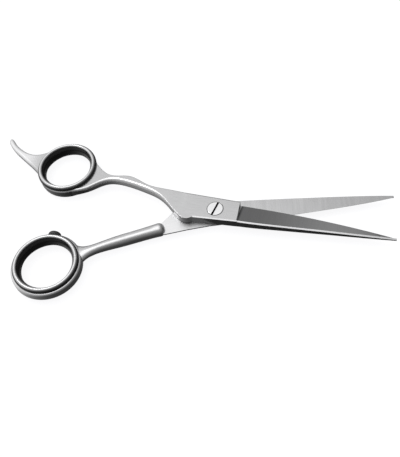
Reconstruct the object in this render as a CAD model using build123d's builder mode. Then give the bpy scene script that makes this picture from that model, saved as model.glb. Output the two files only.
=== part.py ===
"""Hair cutting shears: two steel halves on a slotted tension screw, with ring inserts and a bumper.

Frame: the origin is on the pivot axis, in the plane where the two halves meet. +X points along the
middle of the opening towards the tips, and +Z is the side of the screw head. Both halves are drawn
with their blade along their own +X axis, and each is turned to its side of the opening.
"""

import math
import os

from build123d import *

os.makedirs("parts", exist_ok=True)

# The opening, half the gap between the two halves, and a length that cuts right through
OPENING = 16.8
INNER_GAP = 0.1
THROUGH = 20.0
FROM_BASE = (Align.CENTER, Align.CENTER, Align.MIN)
FRONT_PLANE = Plane.XY.rotated((0, 0, -OPENING / 2))
REAR_PLANE = Plane.XY.rotated((0, 0, OPENING / 2))

# Blades: station along the blade, cutting edge, spine, thickness at the spine
FRONT_STATIONS = [
    (8.0, 5.35, 4.50, 3.35),
    (20.0, 5.05, 4.00, 2.90),
    (35.0, 4.30, 2.90, 2.30),
    (50.0, 3.00, 1.85, 1.75),
    (62.0, 1.55, 1.00, 1.25),
    (69.6, 0.42, 0.38, 0.80),
]
REAR_STATIONS = [
    (8.0, 4.90, 5.30, 3.30),
    (20.0, 4.60, 4.60, 2.85),
    (35.0, 3.65, 3.55, 2.25),
    (50.0, 2.60, 2.40, 1.70),
    (62.0, 1.45, 1.30, 1.20),
    (69.6, 0.40, 0.40, 0.75),
]
EDGE_LAND = 0.12
SPINE_CHAMFER = 0.22
SPINE_CHAMFER_WIDTH = 0.62

# Hubs, the thick flat stretch of each half around the pivot
HUB_THICKNESS = 3.6
HUB_CHAMFER = 0.5
HUB_CHAMFER_DEPTH = 0.18
FRONT_HUB = [(9.0, 5.0), (-13.9, 5.7), (-13.9, -5.1), (-13.0, -5.66), (9.7, -4.5)]
FRONT_HUB_STEP = (9.2, 0.5)
REAR_HUB = [(-24.0, -3.6), (-24.0, -7.0), (-20.7, -7.3), (-12.0, -6.1), (-3.0, -5.25), (9.3, -4.9)]
REAR_HEEL = [(9.3, 5.25), (-13.9, 5.7)]
HEEL_CURVE = [(-13.9, 5.7), (-17.5, 2.4), (-21.2, -1.3), (-24.0, -3.6)]
HEEL_TANGENTS = [(-0.62, -0.78), (-0.85, -0.5)]
REAR_BEVEL = 2.9
REAR_BEVEL_WIDTH = 2.4
REAR_BEVEL_FROM = -4.8

# Finger shank: station, lower and upper edge, underside and top, rounding on the lower side
SHANK_STATIONS = [
    (-8.0, -5.20, 5.40, 0.1, 3.6, 0.30),
    (-13.5, -5.58, 5.68, 0.1, 3.6, 0.40),
    (-17.5, -2.40, 6.00, 0.1, 3.6, 0.60),
    (-21.0, 0.50, 6.25, 0.0, 3.55, 0.95),
    (-25.0, 2.85, 6.55, -0.4, 3.40, 1.45),
    (-30.0, 4.60, 7.40, -0.8, 3.15, 1.70),
    (-35.0, 5.95, 9.50, -1.0, 2.90, 1.80),
    (-40.0, 6.95, 10.75, -1.1, 2.75, 1.80),
    (-44.0, 7.30, 10.25, -1.2, 2.65, 1.80),
    (-48.0, 6.75, 10.30, -1.3, 2.45, 1.75),
    (-52.0, 4.50, 12.30, -1.5, 2.20, 1.65),
    (-55.0, 2.20, 14.80, -1.5, 2.00, 1.45),
    (-58.0, 0.60, 17.20, -1.5, 1.90, 1.20),
    (-62.5, -0.50, 20.10, -1.5, 1.85, 1.00),
]
SHANK_UPPER_ROUNDING = 0.35

# Thumb shank: a tapering round bar, as centre along, centre across, centre height, half width, half height
BAR_STATIONS = [
    (-20.6, -4.45, -0.55, 2.95, 2.90),
    (-33.0, -7.15, -0.40, 2.50, 2.45),
    (-43.0, -9.65, -0.15, 2.25, 2.15),
    (-50.0, -11.75, 0.0, 2.30, 1.85),
    (-52.6, -12.55, 0.0, 3.10, 1.80),
    (-54.5, -13.10, 0.0, 4.60, 1.80),
]
BAR_TURN = 194.0
BAR_END_ROUNDING = 2.2

# Tang: centre along, centre across, heading, half width, half height
TANG_STATIONS = [
    (-75.5, 12.20, 180.0, 9.30, 1.65),
    (-78.2, 12.45, 178.0, 7.20, 1.65),
    (-80.8, 12.75, 176.0, 5.10, 1.60),
    (-83.8, 13.25, 170.0, 3.40, 1.55),
    (-87.6, 14.35, 158.0, 2.10, 1.50),
    (-92.6, 16.75, 144.0, 1.45, 1.40),
    (-97.0, 20.00, 130.0, 1.20, 1.20),
    (-99.3, 22.60, 124.0, 0.85, 0.85),
    (-99.7, 23.20, 122.0, 0.40, 0.40),
]
TANG_ROUNDING = 0.85
TANG_RISE = 0.2

# Rings
RING_HALF_HEIGHT = 1.9
RING_ROUNDING = 1.1
FINGER_RING = (-67.6, 11.0)
FINGER_HOOP = (-67.3, 10.6)
FINGER_HOOP_RADIUS = 12.4
FINGER_BORE_RADIUS = 11.0
THUMB_RING = (-66.9, -17.1)
THUMB_HOOP_RADIUS = 14.1
THUMB_BORE_RADIUS = 12.1

# Ring inserts, as steps outward from the hole that the finger goes through
FINGER_HOLE_RADIUS = 9.7
THUMB_HOLE_RADIUS = 10.3
HOLE_LAND_BOTTOM = -0.2
HOLE_LAND_TOP = 1.0
TRIM_INNER_STEP = 1.0
TRIM_WIDTH = 1.4
FLANGE_WIDTH = 0.5
INSERT_LIP_HEIGHT = 3.1
FLANGE_EDGE = 0.2
TRIM_HEIGHT = 3.65
REAR_FLANGE_HEIGHT = 2.9
REAR_FLANGE_STEP = 0.3
REAR_FLANGE_EDGE = 0.4
FLANGE_ROOM = 2.0

# Bumper on the thumb ring
BUMPER_ANGLE = 82.0
BUMPER_RADIUS = 2.6
BUMPER_PROUD = 1.5
BUMPER_SKIRT = 0.35
BUMPER_STEM_RADIUS = 0.8
BUMPER_STEM_DEPTH = 1.1
BUMPER_WALL = 0.2

# Tension screw
HEAD_RADIUS = 3.15
HEAD_RECESS_RADIUS = 3.3
HEAD_FLOOR = 1.9
HEAD_UNDERSIDE = 2.15
HEAD_PROUD = 0.15
HEAD_ROUNDING = 0.25
SLOT_WIDTH = 0.8
SLOT_DEPTH = 0.8
SLOT_ANGLE = 70.0
SHOULDER_RADIUS = 2.0
THREAD_RADIUS = 1.5
THREAD_SETBACK = 0.1
THREAD_CHAMFER = 0.3
RUNNING_CLEARANCE = 0.05
HEAD_WASHER_RADIUS = 3.05
HEAD_WASHER_THICKNESS = 0.2
WASHER_OUTER_RADIUS = 3.6
WASHER_SEAT_DEPTH = 0.35
WASHER_END_PLAY = 0.02
LOCK_BUSH_RADIUS = 2.2
LOCK_BUSH_LENGTH = 1.2


def blade(stations, side):
    """A tapering wedge: thick along the spine and ground down to the cutting edge."""
    base = side * INNER_GAP
    plane = FRONT_PLANE if side > 0 else REAR_PLANE
    with BuildPart() as wedge:
        for x, edge, spine, thickness in stations:
            section = Plane(plane.from_local_coords((x, 0, 0)), x_dir=plane.y_dir, z_dir=plane.x_dir)
            with BuildSketch(section):
                with BuildLine():
                    Polyline(
                        (-side * spine, base),
                        (side * edge, base),
                        (side * edge, base + side * EDGE_LAND),
                        (-side * (spine - SPINE_CHAMFER_WIDTH), side * thickness),
                        (-side * spine, side * (thickness - SPINE_CHAMFER)),
                        close=True,
                    )
                make_face()
        loft()
    return wedge.part


def shank_section(plane, station):
    """One cross-section of the finger shank, more rounded on its lower side."""
    x, low, high, underside, top, rounding = station
    section = Plane(plane.from_local_coords((x, 0, 0)), x_dir=plane.y_dir, z_dir=plane.x_dir)
    with BuildSketch(section) as outline:
        with BuildLine():
            Polyline((low, underside), (high, underside), (high, top), (low, top), close=True)
        make_face()
        fillet(section_corners(outline, section, low), rounding)
        fillet(section_corners(outline, section, high), SHANK_UPPER_ROUNDING)
    return outline.sketch


def section_corners(outline, section, across):
    """The corners of a section that lie at one distance across the blade."""
    return [v for v in outline.vertices() if abs(v.X - across) < 0.01]


def ring_seat(plane, centre):
    """The plane of a finger ring, with its origin at the ring's centre."""
    return Plane(plane.from_local_coords((*centre, 0)), x_dir=plane.x_dir, z_dir=plane.z_dir)


def hoop(seat, radius):
    """The steel of a finger ring with its outer edges rounded, before it is bored."""
    with BuildPart() as disc:
        with BuildSketch(seat.offset(-RING_HALF_HEIGHT)):
            Circle(radius)
        extrude(amount=2 * RING_HALF_HEIGHT)
        fillet(disc.edges(), RING_ROUNDING)
    return disc.part


def finger_shank():
    """The curved shank between the hub and the finger ring."""
    sections = [shank_section(FRONT_PLANE, station) for station in SHANK_STATIONS]
    with BuildPart() as shank:
        loft(sections)
    return shank.part


def tang():
    """The finger rest: a web against the ring that runs out into a rounded horn."""
    sections = []
    for x, y, heading, half_width, half_height in TANG_STATIONS:
        angle = math.radians(heading)
        ahead = FRONT_PLANE.x_dir * math.cos(angle) + FRONT_PLANE.y_dir * math.sin(angle)
        centre = FRONT_PLANE.from_local_coords((x, y, TANG_RISE))
        section = Plane(centre, x_dir=ahead.cross(FRONT_PLANE.z_dir), z_dir=ahead)
        with BuildSketch(section) as outline:
            RectangleRounded(2 * half_width, 2 * half_height, TANG_ROUNDING * half_height)
        sections.append(outline.sketch)
    with BuildPart() as rest:
        loft(sections)
    return rest.part


def bar():
    """The tapering round shank of the thumb half, which widens where it meets its ring."""
    angle = math.radians(BAR_TURN)
    ahead = REAR_PLANE.x_dir * math.cos(angle) + REAR_PLANE.y_dir * math.sin(angle)
    sections = []
    for x, y, height, half_width, half_height in BAR_STATIONS:
        centre = REAR_PLANE.from_local_coords((x, y, height))
        section = Plane(centre, x_dir=ahead.cross(REAR_PLANE.z_dir), z_dir=ahead)
        with BuildSketch(section) as outline:
            Ellipse(half_width, half_height)
        sections.append(outline.sketch)
    with BuildPart() as shank:
        loft(sections)
        shoulder = shank.faces().sort_by(Axis.X)[-1]
        fillet(shoulder.edges(), BAR_END_ROUNDING)
    return shank.part


front_blade = blade(FRONT_STATIONS, 1)
rear_blade = blade(REAR_STATIONS, -1)
shank = finger_shank()
rest = tang()
thumb_bar = bar()
finger_seat = ring_seat(FRONT_PLANE, FINGER_RING)
thumb_seat = ring_seat(REAR_PLANE, THUMB_RING)
finger_hoop = hoop(ring_seat(FRONT_PLANE, FINGER_HOOP), FINGER_HOOP_RADIUS)
thumb_hoop = hoop(thumb_seat, THUMB_HOOP_RADIUS)
bumper_angle = math.radians(BUMPER_ANGLE)
bumper_out = thumb_seat.x_dir * math.cos(bumper_angle) + thumb_seat.y_dir * math.sin(bumper_angle)
bumper_base = THUMB_HOOP_RADIUS - BUMPER_STEM_DEPTH
bumper_plane = Plane(thumb_seat.origin + bumper_out * bumper_base, x_dir=thumb_seat.z_dir, z_dir=bumper_out)

finger_flange_radius = FINGER_HOLE_RADIUS + TRIM_INNER_STEP + TRIM_WIDTH + FLANGE_WIDTH
front_flange_seat = finger_seat.offset(RING_HALF_HEIGHT)
rear_flange_seat = finger_seat.offset(-RING_HALF_HEIGHT - FLANGE_ROOM)

# Finger half: hub, blade, shank, ring and tang, forged as one piece
with BuildPart() as finger_half:
    with BuildSketch(FRONT_PLANE.offset(INNER_GAP)):
        with BuildLine():
            Polyline(*FRONT_HUB)
            ThreePointArc(FRONT_HUB[-1], FRONT_HUB_STEP, FRONT_HUB[0])
        make_face()
    extrude(amount=HUB_THICKNESS - INNER_GAP)
    hub_face = finger_half.faces().sort_by(Axis.Z)[-1]
    chamfer(hub_face.edges().sort_by(SortBy.LENGTH)[-2:], HUB_CHAMFER, HUB_CHAMFER_DEPTH, reference=hub_face)
    add(front_blade)
    add(shank)
    add(finger_hoop)
    add(rest)
    with Locations(finger_seat):
        Cylinder(FINGER_BORE_RADIUS, THROUGH, mode=Mode.SUBTRACT)
    with Locations(front_flange_seat, rear_flange_seat):
        Cylinder(finger_flange_radius, FLANGE_ROOM, align=FROM_BASE, mode=Mode.SUBTRACT)
    with Locations(Location((0, 0, HEAD_FLOOR))):
        Cylinder(HEAD_RECESS_RADIUS, THROUGH, align=FROM_BASE, mode=Mode.SUBTRACT)
    Cylinder(SHOULDER_RADIUS + RUNNING_CLEARANCE, THROUGH, mode=Mode.SUBTRACT)
finger_half.part.label = "finger_half"
export_step(finger_half.part, "parts/finger_half.step")

# Thumb half: hub, blade, round shank and ring, forged as one piece
with BuildPart() as thumb_half:
    with BuildSketch(REAR_PLANE.offset(-INNER_GAP)):
        with BuildLine():
            Polyline(*REAR_HUB, *REAR_HEEL)
            Spline(*HEEL_CURVE, tangents=HEEL_TANGENTS)
        make_face()
    extrude(amount=INNER_GAP - HUB_THICKNESS)
    back_face = thumb_half.faces().sort_by(Axis.Z)[0]
    edges = back_face.edges()
    cutting_side = [edge for edge in edges if REAR_PLANE.to_local_coords(edge.center()).Y < REAR_BEVEL_FROM]
    chamfer(cutting_side, REAR_BEVEL, REAR_BEVEL_WIDTH)
    add(rear_blade)
    add(thumb_bar)
    add(thumb_hoop)
    with Locations(thumb_seat):
        Cylinder(THUMB_BORE_RADIUS, THROUGH, mode=Mode.SUBTRACT)
    with Locations(bumper_plane):
        Cylinder(BUMPER_STEM_RADIUS, BUMPER_RADIUS, align=FROM_BASE, mode=Mode.SUBTRACT)
    Cylinder(THREAD_RADIUS + RUNNING_CLEARANCE, THROUGH, mode=Mode.SUBTRACT)
    with Locations(Location((0, 0, -HUB_THICKNESS))):
        Cylinder(LOCK_BUSH_RADIUS, LOCK_BUSH_LENGTH, align=FROM_BASE, mode=Mode.SUBTRACT)
    with Locations(Location((0, 0, -WASHER_SEAT_DEPTH))):
        Cylinder(WASHER_OUTER_RADIUS, THROUGH, align=FROM_BASE, mode=Mode.SUBTRACT)
thumb_half.part.label = "thumb_half"
export_step(thumb_half.part, "parts/thumb_half.step")


def ring_insert(seat, hole_radius, bore_radius):
    """A soft bush pressed into a finger ring, with a flange on each face."""
    trim_inner = hole_radius + TRIM_INNER_STEP
    trim_outer = trim_inner + TRIM_WIDTH
    flange = trim_outer + FLANGE_WIDTH
    section = Plane(seat.origin, x_dir=seat.x_dir, z_dir=-seat.y_dir)
    with BuildPart() as insert:
        with BuildSketch(section):
            with BuildLine():
                Line((hole_radius, HOLE_LAND_BOTTOM), (hole_radius, HOLE_LAND_TOP))
                Spline(
                    (hole_radius, HOLE_LAND_TOP),
                    (trim_inner, INSERT_LIP_HEIGHT),
                    tangents=[(0, 1), (0.5, 1)],
                )
                Line((trim_inner, INSERT_LIP_HEIGHT), (trim_outer, INSERT_LIP_HEIGHT))
                Spline(
                    (trim_outer, INSERT_LIP_HEIGHT),
                    (flange, RING_HALF_HEIGHT + FLANGE_EDGE),
                    tangents=[(1, -0.3), (0, -1)],
                )
                Polyline(
                    (flange, RING_HALF_HEIGHT + FLANGE_EDGE),
                    (flange, RING_HALF_HEIGHT),
                    (bore_radius, RING_HALF_HEIGHT),
                    (bore_radius, -RING_HALF_HEIGHT),
                    (flange - REAR_FLANGE_STEP, -RING_HALF_HEIGHT),
                )
                ThreePointArc(
                    (flange - REAR_FLANGE_STEP, -RING_HALF_HEIGHT),
                    ((flange - REAR_FLANGE_STEP + trim_inner) / 2, -REAR_FLANGE_HEIGHT),
                    (trim_inner, -RING_HALF_HEIGHT - REAR_FLANGE_EDGE),
                )
                Spline(
                    (trim_inner, -RING_HALF_HEIGHT - REAR_FLANGE_EDGE),
                    (hole_radius, HOLE_LAND_BOTTOM),
                    tangents=[(-0.5, 1), (0, 1)],
                )
            make_face()
        revolve(axis=Axis(seat.origin, seat.z_dir))
    return insert.part


def insert_trim(seat, hole_radius):
    """The bright half-round ring on the front lip of an insert."""
    inner = hole_radius + TRIM_INNER_STEP
    section = Plane(seat.origin, x_dir=seat.x_dir, z_dir=-seat.y_dir)
    with BuildPart() as trim:
        with BuildSketch(section):
            with BuildLine():
                Line((inner, INSERT_LIP_HEIGHT), (inner + TRIM_WIDTH, INSERT_LIP_HEIGHT))
                ThreePointArc(
                    (inner + TRIM_WIDTH, INSERT_LIP_HEIGHT),
                    (inner + TRIM_WIDTH / 2, TRIM_HEIGHT),
                    (inner, INSERT_LIP_HEIGHT),
                )
            make_face()
        revolve(axis=Axis(seat.origin, seat.z_dir))
    return trim.part


# Ring inserts and their trims
finger_insert = ring_insert(finger_seat, FINGER_HOLE_RADIUS, FINGER_BORE_RADIUS)
finger_insert.label = "finger_insert"
export_step(finger_insert, "parts/finger_insert.step")

finger_trim = insert_trim(finger_seat, FINGER_HOLE_RADIUS)
finger_trim.label = "finger_trim"
export_step(finger_trim, "parts/finger_trim.step")

thumb_insert = ring_insert(thumb_seat, THUMB_HOLE_RADIUS, THUMB_BORE_RADIUS)
thumb_insert.label = "thumb_insert"
export_step(thumb_insert, "parts/thumb_insert.step")

thumb_trim = insert_trim(thumb_seat, THUMB_HOLE_RADIUS)
thumb_trim.label = "thumb_trim"
export_step(thumb_trim, "parts/thumb_trim.step")

# Bumper: a rubber dome on the thumb ring, held by a stem in the steel
with BuildPart() as bumper:
    with BuildSketch(Plane(bumper_plane.origin, x_dir=bumper_plane.x_dir, z_dir=-bumper_plane.y_dir)):
        with BuildLine():
            Polyline(
                (0, 0),
                (BUMPER_STEM_RADIUS, 0),
                (BUMPER_STEM_RADIUS, BUMPER_STEM_DEPTH - BUMPER_SKIRT),
                (BUMPER_RADIUS, BUMPER_STEM_DEPTH - BUMPER_SKIRT),
                (BUMPER_RADIUS, BUMPER_STEM_DEPTH + BUMPER_WALL),
            )
            Spline(
                (BUMPER_RADIUS, BUMPER_STEM_DEPTH + BUMPER_WALL),
                (0, BUMPER_STEM_DEPTH + BUMPER_PROUD),
                tangents=[(0, 1), (-1, 0)],
            )
            Line((0, BUMPER_STEM_DEPTH + BUMPER_PROUD), (0, 0))
        make_face()
    revolve(axis=Axis(bumper_plane.origin, bumper_plane.z_dir))
    add(thumb_half.part, mode=Mode.SUBTRACT)
bumper.part.label = "bumper"
export_step(bumper.part, "parts/bumper.step")

# Tension screw: slotted head, shoulder that the finger half turns on, threaded end
with BuildPart() as tension_screw:
    with BuildSketch(Plane.XY.offset(HEAD_UNDERSIDE)):
        Circle(HEAD_RADIUS)
    extrude(amount=HUB_THICKNESS + HEAD_PROUD - HEAD_UNDERSIDE)
    fillet(tension_screw.faces().sort_by(Axis.Z)[-1].edges(), HEAD_ROUNDING)
    with BuildSketch(Plane.XY.offset(HUB_THICKNESS + HEAD_PROUD)):
        Rectangle(3 * HEAD_RADIUS, SLOT_WIDTH, rotation=SLOT_ANGLE)
    extrude(amount=-SLOT_DEPTH, mode=Mode.SUBTRACT)
    with BuildSketch(Plane.XY.offset(-WASHER_SEAT_DEPTH)):
        Circle(SHOULDER_RADIUS)
    extrude(amount=HEAD_UNDERSIDE + WASHER_SEAT_DEPTH)
    with BuildSketch(Plane.XY.offset(THREAD_SETBACK - HUB_THICKNESS)):
        Circle(THREAD_RADIUS)
    extrude(amount=HUB_THICKNESS)
    chamfer(tension_screw.faces().sort_by(Axis.Z)[0].edges(), THREAD_CHAMFER)
tension_screw.part.label = "tension_screw"
export_step(tension_screw.part, "parts/tension_screw.step")

# Thin washer under the screw head
with BuildPart() as head_washer:
    with BuildSketch(Plane.XY.offset(HEAD_UNDERSIDE)):
        Circle(HEAD_WASHER_RADIUS)
        Circle(SHOULDER_RADIUS, mode=Mode.SUBTRACT)
    extrude(amount=-HEAD_WASHER_THICKNESS)
head_washer.part.label = "head_washer"
export_step(head_washer.part, "parts/head_washer.step")

# Glide washer between the two halves, in a shallow seat in the thumb half
with BuildPart() as glide_washer:
    with BuildSketch(Plane.XY.offset(-WASHER_SEAT_DEPTH)):
        Circle(WASHER_OUTER_RADIUS)
        Circle(SHOULDER_RADIUS + RUNNING_CLEARANCE, mode=Mode.SUBTRACT)
    extrude(amount=WASHER_SEAT_DEPTH + INNER_GAP - WASHER_END_PLAY)
glide_washer.part.label = "glide_washer"
export_step(glide_washer.part, "parts/glide_washer.step")

# Locking bush that grips the screw's thread at the back of the thumb half
with BuildPart() as lock_bush:
    with BuildSketch(Plane.XY.offset(-HUB_THICKNESS)):
        Circle(LOCK_BUSH_RADIUS)
        Circle(THREAD_RADIUS + RUNNING_CLEARANCE, mode=Mode.SUBTRACT)
    extrude(amount=LOCK_BUSH_LENGTH)
lock_bush.part.label = "lock_bush"
export_step(lock_bush.part, "parts/lock_bush.step")
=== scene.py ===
"""Hair cutting shears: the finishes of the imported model, its studio and its camera."""

import math

import bpy
from mathutils import Matrix, Vector


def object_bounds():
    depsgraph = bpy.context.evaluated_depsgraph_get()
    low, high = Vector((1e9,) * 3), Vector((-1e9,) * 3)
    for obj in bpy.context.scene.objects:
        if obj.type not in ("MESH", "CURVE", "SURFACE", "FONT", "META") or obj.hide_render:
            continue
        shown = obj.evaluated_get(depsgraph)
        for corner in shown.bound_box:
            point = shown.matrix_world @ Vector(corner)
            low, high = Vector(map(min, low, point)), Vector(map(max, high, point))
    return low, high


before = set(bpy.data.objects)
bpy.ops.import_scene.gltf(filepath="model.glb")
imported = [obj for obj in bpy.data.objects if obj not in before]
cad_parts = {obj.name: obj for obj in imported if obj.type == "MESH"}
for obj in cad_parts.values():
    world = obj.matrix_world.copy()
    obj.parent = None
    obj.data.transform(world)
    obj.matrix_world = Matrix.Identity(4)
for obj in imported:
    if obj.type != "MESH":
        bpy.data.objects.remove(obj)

cad_low, cad_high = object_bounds()
scene = bpy.context.scene
half_opening = math.radians(8.4)
MM = 0.001

# ---------------------------------------------------------------- camera

CAMERA_PLACE = Vector((0.033356, -0.152980, 0.219278))
LOOK_AT = Vector((-0.00564, -0.00717, 0.0))
CAMERA_ROLL = math.radians(-10.93)
LENS = 53.57
SENSOR = 36.0


def make_camera():
    """The camera over the near side of the shears, rolled a little about its own axis."""
    lens = bpy.data.cameras.new("camera")
    lens.lens = LENS
    lens.sensor_width = SENSOR
    lens.sensor_fit = "AUTO"
    lens.clip_start = 0.01
    lens.clip_end = 10.0
    camera = bpy.data.objects.new("camera", lens)
    scene.collection.objects.link(camera)
    aim = (LOOK_AT - CAMERA_PLACE).to_track_quat("-Z", "Y")
    turn = aim.to_matrix().to_4x4() @ Matrix.Rotation(CAMERA_ROLL, 4, "Z")
    camera.matrix_world = Matrix.Translation(CAMERA_PLACE) @ turn
    scene.camera = camera


make_camera()

# ---------------------------------------------------------------- node helpers


def put(tree, kind, **settings):
    """A new node in the tree, with its settings."""
    node = tree.nodes.new(kind)
    for name, value in settings.items():
        setattr(node, name, value)
    return node


def feed(tree, node, **inputs):
    """Gives a node's inputs: a socket is linked, and anything else becomes the default value."""
    for name, value in inputs.items():
        socket = node.inputs[int(name[1:])] if name[0] == "n" and name[1:].isdigit() else node.inputs[name]
        if isinstance(value, bpy.types.NodeSocket):
            tree.links.new(value, socket)
        else:
            socket.default_value = value
    return node


def math_node(tree, operation, first, second):
    """One arithmetic step, and its result."""
    node = put(tree, "ShaderNodeMath", operation=operation)
    feed(tree, node, n0=first, n1=second)
    return node.outputs[0]


def both(tree, first, second):
    """A mask of where two masks overlap."""
    return math_node(tree, "MULTIPLY", first, second)


def ramp(tree, value, low, high, start=0.0, end=1.0):
    """A smooth step of value from start, at low, to end, at high."""
    node = put(tree, "ShaderNodeMapRange", interpolation_type="SMOOTHSTEP", clamp=True)
    feed(tree, node, n0=value, n1=low, n2=high, n3=start, n4=end)
    return node.outputs[0]


def mix_colour(tree, factor, first, second):
    """A blend of two colours."""
    node = put(tree, "ShaderNodeMix", data_type="RGBA")
    feed(tree, node, n0=factor, n6=first, n7=second)
    return node.outputs[2]


def mix_value(tree, factor, first, second):
    """A blend of two numbers."""
    node = put(tree, "ShaderNodeMix", data_type="FLOAT")
    feed(tree, node, n0=factor, n2=first, n3=second)
    return node.outputs[0]


def grey(level):
    """A neutral colour of one linear level."""
    return (level, level, level * 1.01, 1.0)


def new_group(name, inputs, outputs):
    """An empty shader node group with named inputs and outputs, and its two end nodes."""
    group = bpy.data.node_groups.new(name, "ShaderNodeTree")
    for label, kind, value in inputs:
        socket = group.interface.new_socket(label, in_out="INPUT", socket_type=kind)
        if value is not None:
            socket.default_value = value
    for label, kind in outputs:
        group.interface.new_socket(label, in_out="OUTPUT", socket_type=kind)
    return group, put(group, "NodeGroupInput"), put(group, "NodeGroupOutput")


def use_group(tree, group, **inputs):
    """A placed copy of a shared group with its own values."""
    node = put(tree, "ShaderNodeGroup", node_tree=group)
    for label, value in inputs.items():
        socket = node.inputs[label.replace("_", " ")]
        if isinstance(value, bpy.types.NodeSocket):
            tree.links.new(value, socket)
        else:
            socket.default_value = value
    return node


# ---------------------------------------------------------------- shared effects


def make_lay():
    """The lay of a ground or brushed finish: fine lines of uneven strength along one direction."""
    group, given, result = new_group(
        "finish_lay",
        [
            ("Place", "NodeSocketVector", None),
            ("Stretch", "NodeSocketVector", (0.15, 9.0, 9.0)),
            ("Patch scale", "NodeSocketFloat", 0.12),
        ],
        [("Lines", "NodeSocketFloat"), ("Patches", "NodeSocketFloat")],
    )
    stretched = put(group, "ShaderNodeVectorMath", operation="MULTIPLY")
    feed(group, stretched, n0=given.outputs["Place"], n1=given.outputs["Stretch"])
    lines = put(group, "ShaderNodeTexNoise")
    feed(group, lines, Vector=stretched.outputs[0], Scale=1.0, Detail=3.0, Roughness=0.6)
    patches = put(group, "ShaderNodeTexNoise")
    feed(group, patches, Vector=given.outputs["Place"], Scale=given.outputs["Patch scale"], Detail=2.0)
    group.links.new(lines.outputs["Fac"], result.inputs["Lines"])
    group.links.new(patches.outputs["Fac"], result.inputs["Patches"])
    return group


def make_edge_glint():
    """Where a corner is: a mask of the edges that get a painted highlight, and the softened normal."""
    group, given, result = new_group(
        "edge_glint",
        [("Width", "NodeSocketFloat", 0.1 * MM), ("Normal", "NodeSocketVector", None)],
        [("Edge", "NodeSocketFloat"), ("Normal", "NodeSocketVector")],
    )
    soft = put(group, "ShaderNodeBevel", samples=6)
    group.links.new(given.outputs["Width"], soft.inputs["Radius"])
    group.links.new(given.outputs["Normal"], soft.inputs["Normal"])
    surface = put(group, "ShaderNodeNewGeometry")
    along = put(group, "ShaderNodeVectorMath", operation="DOT_PRODUCT")
    feed(group, along, n0=soft.outputs[0], n1=surface.outputs["Normal"])
    edge = ramp(group, along.outputs["Value"], 0.995, 0.88)
    group.links.new(edge, result.inputs["Edge"])
    group.links.new(soft.outputs[0], result.inputs["Normal"])
    return group


lay_group = make_lay()
edge_glint_group = make_edge_glint()

# ---------------------------------------------------------------- materials

# Where each half's ground blade begins, along it from the pivot, in millimetres
BLADE_START = (9.1, 9.5)
# How the lay is stretched along and across a half, for its satin and for each ground blade
SATIN_LAY = (0.22, 7.0, 7.0)
FRONT_GRIND = (5.0, 0.12, 0.12)
REAR_GRIND = (0.55, 0.05, 0.05)
# The recess round the screw and the floor of its slot, in millimetres
RECESS_REACH = 3.29
RECESS_TOP = 3.45
SLOT_FLOOR = 3.48


def new_material(name):
    """A node material, its tree and its shader."""
    material = bpy.data.materials.new(name)
    material.use_nodes = True
    tree = material.node_tree
    return material, tree, tree.nodes["Principled BSDF"]


def half_place(tree, turn):
    """The place on one half in millimetres, with its blade along X."""
    place = put(tree, "ShaderNodeTexCoord")
    mapping = put(tree, "ShaderNodeMapping")
    feed(
        tree,
        mapping,
        Vector=place.outputs["Object"],
        Rotation=(0.0, 0.0, turn),
        Scale=(1.0 / MM, 1.0 / MM, 1.0 / MM),
    )
    return mapping.outputs[0]


def on_half(tree, turn):
    """A point of one half: its place, that place along, across and up, and which way it faces."""
    place = half_place(tree, turn)
    where = put(tree, "ShaderNodeSeparateXYZ")
    feed(tree, where, Vector=place)
    own = put(tree, "ShaderNodeTexCoord")
    facing = put(tree, "ShaderNodeSeparateXYZ")
    feed(tree, facing, Vector=own.outputs["Normal"])
    return place, where.outputs, facing.outputs


def worn_lines(tree, place, grind, blade):
    """The lay of the satin stretch along the half and of the ground blade across it, and their patches."""
    brushed = use_group(tree, lay_group, Place=place, Stretch=SATIN_LAY, Patch_scale=0.09)
    across = use_group(tree, lay_group, Place=place, Stretch=grind, Patch_scale=0.05)
    lines = mix_value(tree, blade, brushed.outputs["Lines"], across.outputs["Lines"])
    patches = mix_value(tree, blade, brushed.outputs["Patches"], across.outputs["Patches"])
    return lines, patches


def finish_steel(tree, shader, base, lines, patches, rough):
    """Ends a steel material: streaks and patches in its colour and gloss, and a painted highlight on its
    corners.
    """
    bump = put(tree, "ShaderNodeBump")
    feed(tree, bump, Strength=0.10, Distance=0.02 * MM, Height=lines)
    glint = use_group(tree, edge_glint_group, Width=0.10 * MM, Normal=bump.outputs[0])
    streak = ramp(tree, lines, 0.25, 0.75, 0.93, 1.05)
    shade = put(tree, "ShaderNodeVectorMath", operation="SCALE")
    feed(tree, shade, n0=base, n3=streak)
    # painted highlight: the corners are painted paler
    edge = both(tree, glint.outputs["Edge"], 0.5)
    bright = mix_colour(tree, edge, shade.outputs[0], grey(0.80))
    varied = math_node(tree, "ADD", rough, ramp(tree, patches, 0.3, 0.7, -0.035, 0.035))
    feed(
        tree,
        shader,
        **{"Base Color": bright, "Metallic": 1.0, "Roughness": varied, "Normal": glint.outputs["Normal"]},
    )


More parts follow.
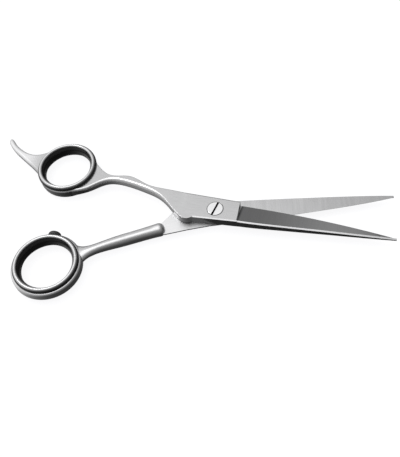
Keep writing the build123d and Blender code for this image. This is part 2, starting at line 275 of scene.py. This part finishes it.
def front_steel():
    """The finger half: satin all over, with painted shade beside the hub and ring and on the ground face of
    the blade, and a painted highlight on the horn.
    """
    material, tree, shader = new_material("front_half_steel")
    place, where, facing = on_half(tree, half_opening)
    along, across, height = where["X"], where["Y"], where["Z"]
    blade = ramp(tree, along, *BLADE_START)
    lines, patches = worn_lines(tree, place, FRONT_GRIND, blade)

    # the ground face in painted shade: a painted shadow darkest at its shoulder by the hub, fading paler
    # towards the tip
    ground = mix_colour(tree, ramp(tree, along, 12.0, 66.0), grey(0.23), grey(0.58))
    ground = mix_colour(tree, ramp(tree, along, 10.6, 9.6), ground, grey(0.10))
    upward = ramp(tree, facing["Z"], 0.55, 0.75)
    inward = both(tree, upward, ramp(tree, facing["Y"], -0.1, 0.0))
    sloping = both(tree, blade, inward)
    # the satin, with a painted highlight that makes it paler on the horn
    satin = mix_colour(tree, ramp(tree, along, -80.0, -88.0), grey(0.58), grey(0.86))
    base = mix_colour(tree, sloping, satin, ground)
    # painted shade on the sides of the hub and blade, and on the near side of the ring
    sideways = ramp(tree, facing["Z"], 0.45, 0.2)
    hub_side_shade = both(tree, ramp(tree, along, -14.4, -13.2), sideways)
    base = mix_colour(tree, hub_side_shade, base, grey(0.16))
    ring_side_shade = both(tree, ramp(tree, along, -52.0, -58.0), sideways)
    ring_side_shade = both(tree, ring_side_shade, ramp(tree, facing["Y"], 0.2, -0.2))
    base = mix_colour(tree, ring_side_shade, base, grey(0.20))
    # painted shade: near black low in the recess round the screw's head
    base = mix_colour(tree, recess_painted_shade(tree, along, across, height), base, grey(0.02))
    rough = mix_value(tree, sloping, 0.26, 0.15)
    finish_steel(tree, shader, base, lines, patches, rough)
    return material


def recess_painted_shade(tree, along, across, height):
    """Where painted shade goes, low in the recess that the screw's head sits in."""
    radius = put(tree, "ShaderNodeVectorMath", operation="LENGTH")
    flat = put(tree, "ShaderNodeCombineXYZ")
    feed(tree, flat, X=along, Y=across)
    feed(tree, radius, n0=flat.outputs[0])
    inside = ramp(tree, radius.outputs["Value"], RECESS_REACH + 0.05, RECESS_REACH)
    return both(tree, inside, ramp(tree, height, RECESS_TOP, RECESS_TOP - 0.1))


def rear_steel():
    """The thumb half: satin with painted shade and painted highlights, a painted highlight that makes the
    heel paler, and lines ground across the inner face.
    """
    material, tree, shader = new_material("rear_half_steel")
    place, where, facing = on_half(tree, -half_opening)
    along = where["X"]
    blade = ramp(tree, along, *BLADE_START)
    lines, patches = worn_lines(tree, place, REAR_GRIND, blade)

    # the satin, with painted shade darker towards the tip and a painted highlight paler on the outside of
    # the ring
    satin = mix_colour(tree, ramp(tree, along, 10.0, 92.0), grey(0.61), grey(0.52))
    leftward = ramp(tree, facing["X"], -0.1, -0.7)
    ring_outside_highlight = both(tree, ramp(tree, along, -48.0, -60.0), leftward)
    satin = mix_colour(tree, ring_outside_highlight, satin, grey(0.92))
    # the heel, the flat between the pivot and the round bar, painted paler as a painted highlight
    heel = both(tree, ramp(tree, facing["Z"], 0.97, 0.99), ramp(tree, along, 2.0, -4.0))
    heel = both(tree, heel, ramp(tree, along, -26.0, -24.0))
    base = mix_colour(tree, heel, satin, grey(0.80))
    rough = mix_value(tree, heel, mix_value(tree, blade, 0.24, 0.22), 0.46)
    finish_steel(tree, shader, base, lines, patches, rough)
    return material


def bright_metal(name, level, roughness, slot_floor=None):
    """Polished steel or plating with faint turning lines, a painted highlight on its edges and painted
    shade in a slot.
    """
    material, tree, shader = new_material(name)
    place = half_place(tree, 0.0)
    lay = use_group(tree, lay_group, Place=place, Stretch=(3.0, 3.0, 14.0), Patch_scale=0.4)
    bump = put(tree, "ShaderNodeBump")
    feed(tree, bump, Strength=0.05, Distance=0.01 * MM, Height=lay.outputs["Lines"])
    glint = use_group(tree, edge_glint_group, Width=0.06 * MM, Normal=bump.outputs[0])
    # painted highlight: the edges are painted paler
    base = mix_colour(tree, glint.outputs["Edge"], grey(level), grey(0.92))
    if slot_floor is not None:
        where = put(tree, "ShaderNodeSeparateXYZ")
        feed(tree, where, Vector=place)
        # painted shade: the floor of the slot is painted near black
        slot_shade = ramp(tree, where.outputs["Z"], slot_floor + 0.12, slot_floor)
        base = mix_colour(tree, slot_shade, base, grey(0.02))
    rough = ramp(tree, lay.outputs["Patches"], 0.3, 0.7, roughness - 0.03, roughness + 0.04)
    feed(
        tree,
        shader,
        **{"Base Color": base, "Metallic": 1.0, "Roughness": rough, "Normal": glint.outputs["Normal"]},
    )
    return material


def soft_black(name, level, roughness, grain):
    """Moulded black rubber: smooth skin with a faint grain and a few duller patches."""
    material, tree, shader = new_material(name)
    place = half_place(tree, 0.0)
    lay = use_group(tree, lay_group, Place=place, Stretch=(6.0, 6.0, 6.0), Patch_scale=0.35)
    bump = put(tree, "ShaderNodeBump")
    feed(tree, bump, Strength=grain, Distance=0.02 * MM, Height=lay.outputs["Lines"])
    base = mix_colour(tree, lay.outputs["Patches"], grey(level), grey(level * 1.5))
    rough = ramp(tree, lay.outputs["Patches"], 0.35, 0.7, roughness, roughness + 0.08)
    feed(tree, shader, **{"Base Color": base, "Roughness": rough, "Normal": bump.outputs[0]})
    shader.inputs["Specular IOR Level"].default_value = 0.5
    return material


def moulded_plastic(name, colour, roughness):
    """A small moulded washer or bush with a fine matt skin."""
    material, tree, shader = new_material(name)
    place = half_place(tree, 0.0)
    lay = use_group(tree, lay_group, Place=place, Stretch=(8.0, 8.0, 8.0), Patch_scale=0.8)
    bump = put(tree, "ShaderNodeBump")
    feed(tree, bump, Strength=0.12, Distance=0.02 * MM, Height=lay.outputs["Lines"])
    darker = tuple(channel * 0.88 for channel in colour[:3]) + (1.0,)
    base = mix_colour(tree, lay.outputs["Patches"], colour, darker)
    rough = ramp(tree, lay.outputs["Lines"], 0.3, 0.7, roughness - 0.05, roughness + 0.05)
    feed(tree, shader, **{"Base Color": base, "Roughness": rough, "Normal": bump.outputs[0]})
    return material


finger_steel = front_steel()
thumb_steel = rear_steel()
screw_steel = bright_metal("screw_steel", 0.90, 0.16, slot_floor=SLOT_FLOOR)
trim_plating = bright_metal("trim_plating", 0.66, 0.26)
insert_rubber = soft_black("insert_rubber", 0.010, 0.22, 0.05)
bumper_rubber = soft_black("bumper_rubber", 0.030, 0.36, 0.10)
slip_plastic = moulded_plastic("slip_plastic", (0.80, 0.78, 0.72, 1.0), 0.45)
lock_plastic = moulded_plastic("lock_plastic", (0.06, 0.11, 0.36, 1.0), 0.40)

FINISHES = {
    "finger_half": finger_steel,
    "thumb_half": thumb_steel,
    "tension_screw": screw_steel,
    "head_washer": screw_steel,
    "finger_trim": trim_plating,
    "thumb_trim": trim_plating,
    "finger_insert": insert_rubber,
    "thumb_insert": insert_rubber,
    "bumper": bumper_rubber,
    "glide_washer": slip_plastic,
    "lock_bush": lock_plastic,
}
for name, material in FINISHES.items():
    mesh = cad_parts[name].data
    for index in range(len(mesh.materials)):
        mesh.materials[index] = material

# ---------------------------------------------------------------- studio

DOME_AXIS = Vector((-0.12, 0.12, 0.985)).normalized()
WALL_DIRECTION = Vector((-0.94, 0.34, 0.0))
DOME_PEAK = 2.0
# How far round the room the pale wall fades out and in, as cosines from its direction
WALL_FADE = (-0.6, 0.95)
BACKDROP = 0.97
FLOOR_SIZE = 6.0
FLOOR_GAP = 0.02 * MM
FLOOR_GLOW = 0.90
SOFTBOX_PLACE = (-0.30, 0.12, 0.50)
SOFTBOX_SIZE = 0.10
SOFTBOX_POWER = 0.25
# How bright the room is towards the pale wall and towards the dark side, by the cosine of the angle
# from the overhead light
PALE_SIDE = [
    (-1.00, 0.20),
    (-0.74, 0.50),
    (-0.53, 0.60),
    (-0.28, 0.70),
    (0.23, 0.80),
    (0.48, 1.05),
    (0.69, 1.15),
    (0.85, 1.30),
    (0.93, 1.60),
    (1.00, 1.90),
]
DARK_SIDE = [
    (-1.00, 0.05),
    (-0.30, 0.06),
    (-0.06, 0.12),
    (0.20, 0.18),
    (0.45, 0.28),
    (0.66, 0.33),
    (0.83, 0.50),
    (0.89, 0.67),
    (0.95, 1.20),
    (1.00, 1.90),
]


def dome_side(tree, cosine, steps):
    """The room's brightness on one side, by the cosine of the angle from the overhead light."""
    spread = put(tree, "ShaderNodeMapRange", clamp=True)
    feed(tree, spread, n0=cosine, n1=-1.0, n2=1.0, n3=0.0, n4=1.0)
    levels = put(tree, "ShaderNodeValToRGB")
    levels.color_ramp.interpolation = "LINEAR"
    stops = levels.color_ramp.elements
    stops.remove(stops[1])
    for index, (step, level) in enumerate(steps):
        stop = stops[0] if index == 0 else stops.new((step + 1.0) / 2.0)
        stop.position = (step + 1.0) / 2.0
        stop.color = (level / DOME_PEAK, level / DOME_PEAK, level / DOME_PEAK, 1.0)
    feed(tree, levels, n0=spread.outputs[0])
    return levels.outputs[0]


def make_dome():
    """A soft studio: one broad light overhead, a pale wall on the left and a dark room in front."""
    world = bpy.data.worlds.new("studio_dome")
    scene.world = world
    world.use_nodes = True
    tree = world.node_tree
    direction = put(tree, "ShaderNodeTexCoord")
    towards = put(tree, "ShaderNodeVectorMath", operation="DOT_PRODUCT")
    feed(tree, towards, n0=direction.outputs["Generated"], n1=DOME_AXIS)
    sideways = put(tree, "ShaderNodeVectorMath", operation="DOT_PRODUCT")
    feed(tree, sideways, n0=direction.outputs["Generated"], n1=WALL_DIRECTION)
    turned = put(tree, "ShaderNodeMapRange", clamp=True)
    feed(tree, turned, n0=sideways.outputs["Value"], n1=WALL_FADE[0], n2=WALL_FADE[1], n3=0.0, n4=1.0)
    wall = math_node(tree, "POWER", turned.outputs[0], 2.0)
    pale_level = dome_side(tree, towards.outputs["Value"], PALE_SIDE)
    dark_level = dome_side(tree, towards.outputs["Value"], DARK_SIDE)
    room = mix_colour(tree, wall, dark_level, pale_level)
    rays = put(tree, "ShaderNodeLightPath")
    seen = mix_colour(tree, rays.outputs["Is Camera Ray"], room, grey(BACKDROP / DOME_PEAK))
    feed(tree, tree.nodes["Background"], Color=seen, Strength=DOME_PEAK)


def make_floor():
    """A plain white table top that the shears lie on. It glows a little, so that its shadows stay faint."""
    bpy.ops.mesh.primitive_plane_add(size=FLOOR_SIZE, location=(0.0, 0.0, cad_low.z - FLOOR_GAP))
    floor = bpy.context.object
    floor.name = "floor"
    floor.visible_glossy = False
    floor.visible_diffuse = False
    material, tree, shader = new_material("floor_white")
    feed(tree, shader, **{"Base Color": grey(0.2), "Roughness": 1.0, "Specular IOR Level": 0.0})
    feed(tree, shader, **{"Emission Color": grey(1.0), "Emission Strength": FLOOR_GLOW})
    floor.data.materials.append(material)


def make_softbox():
    """A small square area light, high on the left, that points at the pivot."""
    light = bpy.data.lights.new("key_softbox", "AREA")
    light.size = SOFTBOX_SIZE
    light.energy = SOFTBOX_POWER
    lamp = bpy.data.objects.new("key_softbox", light)
    scene.collection.objects.link(lamp)
    aim = (-Vector(SOFTBOX_PLACE)).to_track_quat("-Z", "Y")
    lamp.matrix_world = Matrix.Translation(SOFTBOX_PLACE) @ aim.to_matrix().to_4x4()


make_dome()
make_floor()
make_softbox()
scene.view_settings.view_transform = "Standard"
